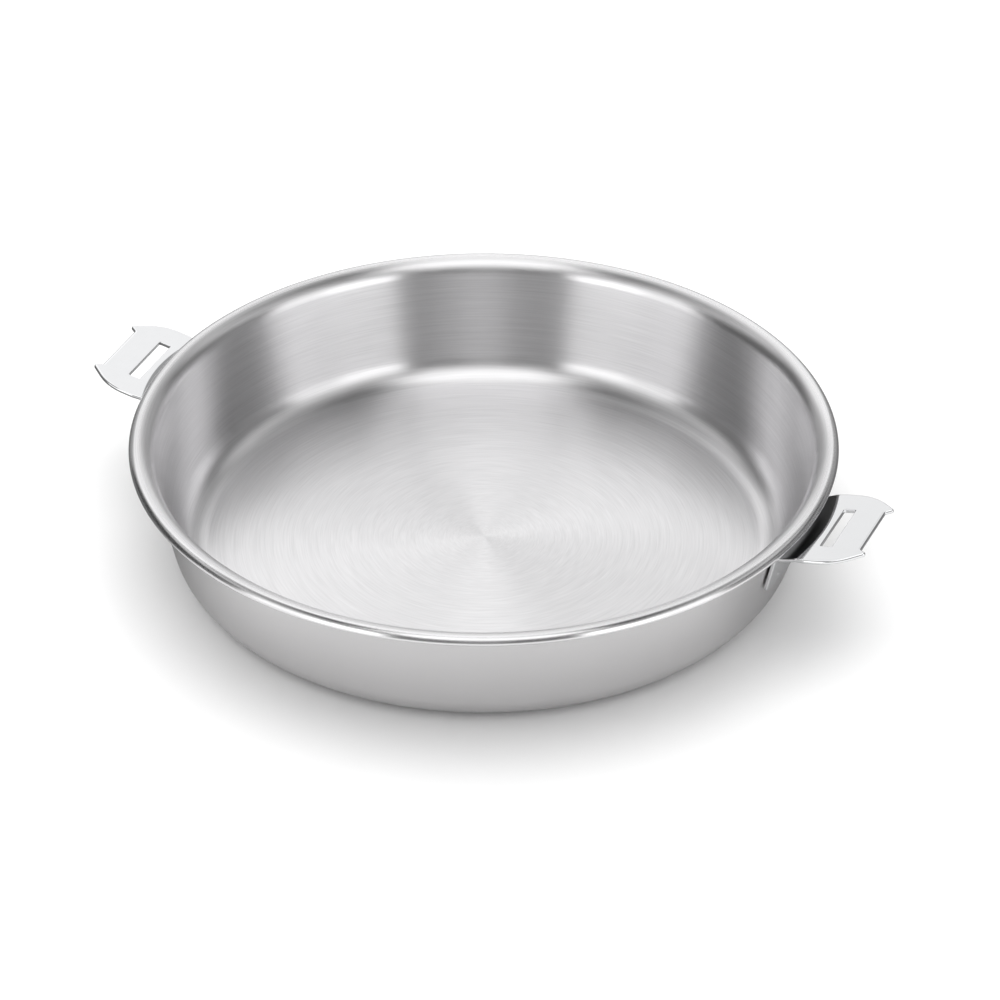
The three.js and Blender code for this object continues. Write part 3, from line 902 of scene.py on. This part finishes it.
class PAN_OT_cooking_skin(bpy.types.Operator):
    """Add the steel inside: brushed floor and wall, and the lip that closes over the sheet's edge"""

    bl_idname = "pan.cooking_skin"
    bl_label = "Cooking skin"

    def execute(self, context):
        pan = context.scene.pan_sizes
        section = pan_section(pan)
        under = sheet_line(section, section.sheet - pan.cooking_skin)
        top = sheet_line(section, section.sheet)
        edge_from = -math.pi / 2 - section.roll_turn
        edge = arc(section.edge_centre, section.sheet / 2, edge_from, edge_from + math.pi, EDGE_RINGS)
        line = np.vstack((under, edge, top[-2::-1]))
        surface = revolve(line, PAN_SEGMENTS)
        material = brushed_inside(context.scene.pan_finishes, pan)
        add_piece(
            "brushed_cooking_skin", surface.points, surface.faces, material, "cooking_skin",
            surface.map,
        )
        return {"FINISHED"}


class PAN_OT_outer_layers(bpy.types.Operator):
    """Add the satin steel outside and the aluminium core under it"""

    bl_idname = "pan.outer_layers"
    bl_label = "Outer skin and core"

    def execute(self, context):
        pan = context.scene.pan_sizes
        finish = context.scene.pan_finishes
        core_from = pan.outer_skin + pan.bond_line
        core_to = core_from + pan.core
        satin = satin_outside(finish, pan)
        layers = (
            ("satin_outer_skin", 0.0, pan.outer_skin, satin, "satin_outside", "outer_skin"),
            ("rolled_core", core_from, core_to, rolled_core(finish), "core", "aluminium_core"),
        )
        section = pan_section(pan)
        short_by = pan.bond_line / pan.roll_run
        for name, start, end, material, slot, node in layers:
            outside = sheet_line(section, start, short_by)
            inside = sheet_line(section, end, short_by)
            surface = revolve(np.vstack((outside, inside[::-1])), PAN_SEGMENTS)
            add_piece(name, surface.points, surface.faces, material, node, surface.map)
        return {"FINISHED"}


class PAN_OT_brackets(bpy.types.Operator):
    """Add the two bent sheet brackets"""

    bl_idname = "pan.brackets"
    bl_label = "Brackets"

    def execute(self, context):
        bracket = context.scene.bracket_sizes
        points, faces = bracket_surface(context.scene.pan_sizes, bracket)
        material = mirror_bracket(context.scene.pan_finishes, context.scene.pan_sizes, bracket)
        for side, turn in SIDES:
            turned = points * (turn, turn, 1.0)
            name = f"{side}_polished_bracket"
            add_piece(name, turned, faces.tolist(), material, f"{side}_bracket")
        return {"FINISHED"}


class PAN_OT_welds(bpy.types.Operator):
    """Add the weld nuggets between the brackets and the wall"""

    bl_idname = "pan.welds"
    bl_label = "Welds"

    def execute(self, context):
        bracket = context.scene.bracket_sizes
        section = bracket_section(context.scene.pan_sizes, bracket)
        nugget = nugget_surface(bracket)
        material = weld_metal(context.scene.pan_finishes)
        centres, outward = weld_places(bracket, section, 0.0)
        for side, turn in SIDES:
            for i, (centre, out) in enumerate(zip(centres, outward), 1):
                basis = np.array(Vector(out).to_track_quat("Z", "Y").to_matrix())
                placed = (nugget.points @ basis.T + centre) * (turn, turn, 1.0)
                add_piece(
                    f"{side}_weld_bead_{i}", placed, nugget.faces, material, f"{side}_weld_{i}"
                )
        return {"FINISHED"}


def from_camera(tree, vector, studio):
    """Parts of a vector towards the camera, to the left of it and up."""
    split = tree.nodes.new("ShaderNodeSeparateXYZ")
    tree.links.new(vector, split.inputs["Vector"])
    x, y, up = split.outputs
    east, north = math.sin(studio.camera_azimuth), -math.cos(studio.camera_azimuth)
    front = calculate(tree, "MULTIPLY_ADD", x, east, calculate(tree, "MULTIPLY", y, north))
    side = calculate(tree, "MULTIPLY_ADD", x, north, calculate(tree, "MULTIPLY", y, -east))
    return front, side, up


def floor_material(studio):
    """Matt floor: pale for the camera, greyer for the light that it throws back, in zones where mirrored.

    The mirrored floor eases from dark to pale with the distance from the pan's axis towards the camera, and
    from pale to dark with the distance to either side behind the pan.
    """
    material = bpy.data.materials.new("studio_floor")
    material.use_nodes = True
    tree = material.node_tree
    shader = tree.nodes["Principled BSDF"]
    shader.inputs["Roughness"].default_value = 1.0
    shader.inputs["Specular IOR Level"].default_value = 0.0
    path = tree.nodes.new("ShaderNodeLightPath")
    front, side, _ = from_camera(tree, object_place(tree), studio)
    ahead = ease(tree, front, studio.floor_dark, studio.floor_light)
    beside = ease(tree, calculate(tree, "ABSOLUTE", side), studio.floor_inner, studio.floor_outer)
    rear = blend(tree, beside, studio.floor_behind, studio.floor_beside)
    mirrored = blend(tree, ahead, rear, studio.floor_front)
    level = blend(tree, path.outputs["Is Glossy Ray"], studio.floor_level, mirrored)
    level = blend(tree, path.outputs["Is Camera Ray"], level, studio.floor_seen)
    tree.links.new(level, shader.inputs["Base Color"])
    return material


def window(tree, value, low, high, soft):
    """Output that is 1 between two values and eases to 0 across either of them."""
    rise = ease(tree, value, low - soft, low + soft)
    fall = ease(tree, value, high - soft, high + soft, (1.0, 0.0))
    return calculate(tree, "MULTIPLY", rise, fall)


def studio_world(studio):
    """Room of soft light: white for the camera, soft for matt surfaces, panels for the metal.

    Each panel lies over the ones before it. A panel's place is its bearing from the camera, to both sides
    or round to the left, and its elevation above the horizon.
    """
    world = bpy.data.worlds.new("studio_room")
    world.use_nodes = True
    tree = world.node_tree
    background = tree.nodes["Background"]
    direction = tree.nodes.new("ShaderNodeTexCoord").outputs["Generated"]
    front, side, up = from_camera(tree, direction, studio)
    bearing = calculate(tree, "ARCTAN2", side, front)
    bearings = {
        "both": calculate(tree, "ABSOLUTE", bearing),
        "left": calculate(tree, "WRAP", bearing, 2 * math.pi, 0.0),
    }
    elevation = calculate(tree, "ARCSINE", up)
    room = studio.room_level
    for sides, near, far, low, high, level in STUDIO_PANELS:
        across = window(tree, bearings[sides], near * DEGREE, far * DEGREE, studio.bearing_blur)
        upright = window(tree, elevation, low * DEGREE, high * DEGREE, studio.height_blur)
        room = blend(tree, calculate(tree, "MULTIPLY", across, upright), room, level)
    path = tree.nodes.new("ShaderNodeLightPath")
    above = calculate(tree, "MULTIPLY", up, up)
    away = calculate(tree, "MAXIMUM", calculate(tree, "MULTIPLY", front, -1.0), 0.0)
    behind = calculate(tree, "POWER", away, 2.0)
    plain = calculate(tree, "MULTIPLY_ADD", above, studio.top_fill, studio.fill)
    plain = calculate(tree, "MULTIPLY_ADD", behind, studio.back_fill, plain)
    light = blend(tree, path.outputs["Is Diffuse Ray"], room, plain)
    seen = calculate(tree, "MAXIMUM", light, path.outputs["Is Camera Ray"])
    background.inputs["Color"].default_value = (1.0, 1.0, 1.0, 1.0)
    tree.links.new(seen, background.inputs["Strength"])
    world.cycles.sampling_method = "NONE"
    return world


class PAN_OT_stage(bpy.types.Operator):
    """Add the camera, the floor and the studio's light"""

    bl_idname = "pan.stage"
    bl_label = "Studio"

    def execute(self, context):
        scene = context.scene
        studio = scene.pan_studio
        azimuth, elevation = studio.camera_azimuth, studio.camera_elevation
        level = math.cos(elevation)
        back = Vector((math.sin(azimuth) * level, -math.cos(azimuth) * level, math.sin(elevation)))
        camera_data = bpy.data.cameras.new("camera")
        camera_data.lens = studio.lens
        camera_data.sensor_width = FILM_WIDTH
        camera = bpy.data.objects.new("camera", camera_data)
        camera.location = Vector(studio.camera_target) + back * studio.camera_distance
        camera.rotation_euler = back.to_track_quat("Z", "Y").to_euler()
        scene.collection.objects.link(camera)
        scene.camera = camera

        half = studio.floor_size / 2
        low = -studio.floor_drop
        corners = ((-half, -half, low), (half, -half, low), (half, half, low), (-half, half, low))
        mesh = bpy.data.meshes.new("floor")
        mesh.from_pydata(corners, [], ((0, 1, 2, 3),))
        mesh.materials.append(floor_material(studio))
        floor = bpy.data.objects.new("floor", mesh)
        scene.collection.objects.link(floor)

        lamp_data = bpy.data.lights.new("softbox", "AREA")
        lamp_data.energy = studio.lamp_power
        lamp_data.shape = "RECTANGLE"
        lamp_data.size = studio.lamp_width
        lamp_data.size_y = studio.lamp_depth
        lamp = bpy.data.objects.new("softbox", lamp_data)
        lamp.location = (-studio.lamp_left, studio.lamp_back, studio.lamp_height)
        lamp.location.rotate(Euler((0.0, 0.0, azimuth)))
        lamp.rotation_euler = (0.0, 0.0, azimuth)
        lamp.visible_glossy = False
        scene.collection.objects.link(lamp)

        scene.world = studio_world(studio)
        scene.view_settings.view_transform = "Standard"
        return {"FINISHED"}


OPERATORS = (PAN_OT_cooking_skin, PAN_OT_outer_layers, PAN_OT_brackets, PAN_OT_welds, PAN_OT_stage)
GROUPS = {
    "pan_sizes": PanSizes,
    "bracket_sizes": BracketSizes,
    "pan_finishes": Finishes,
    "pan_studio": Studio,
}


class PAN_PT_panel(bpy.types.Panel):
    """Lists the pan's pieces, and the sizes and finishes that they are made from"""

    bl_idname = "PAN_PT_panel"
    bl_label = "Frying pan"
    bl_space_type = "VIEW_3D"
    bl_region_type = "UI"
    bl_category = "Frying pan"

    def draw(self, context):
        for operator in OPERATORS:
            self.layout.operator(operator.bl_idname)
        for group in GROUPS:
            box = self.layout.box()
            values = getattr(context.scene, group)
            for name in values.__annotations__:
                box.prop(values, name)


def register():
    """Registers the classes and hangs the property groups on the scene."""
    for cls in (*GROUPS.values(), *OPERATORS, PAN_PT_panel):
        bpy.utils.register_class(cls)
    for name, group in GROUPS.items():
        setattr(bpy.types.Scene, name, PointerProperty(type=group))


def unregister():
    """Takes the property groups and the classes away again."""
    for name in GROUPS:
        delattr(bpy.types.Scene, name)
    for cls in (PAN_PT_panel, *reversed(OPERATORS), *reversed(GROUPS.values())):
        bpy.utils.unregister_class(cls)


def main():
    """Makes every piece and the stage."""
    register()
    bpy.ops.pan.cooking_skin()
    bpy.ops.pan.outer_layers()
    bpy.ops.pan.brackets()
    bpy.ops.pan.welds()
    bpy.ops.pan.stage()


if __name__ == "__main__":
    main()
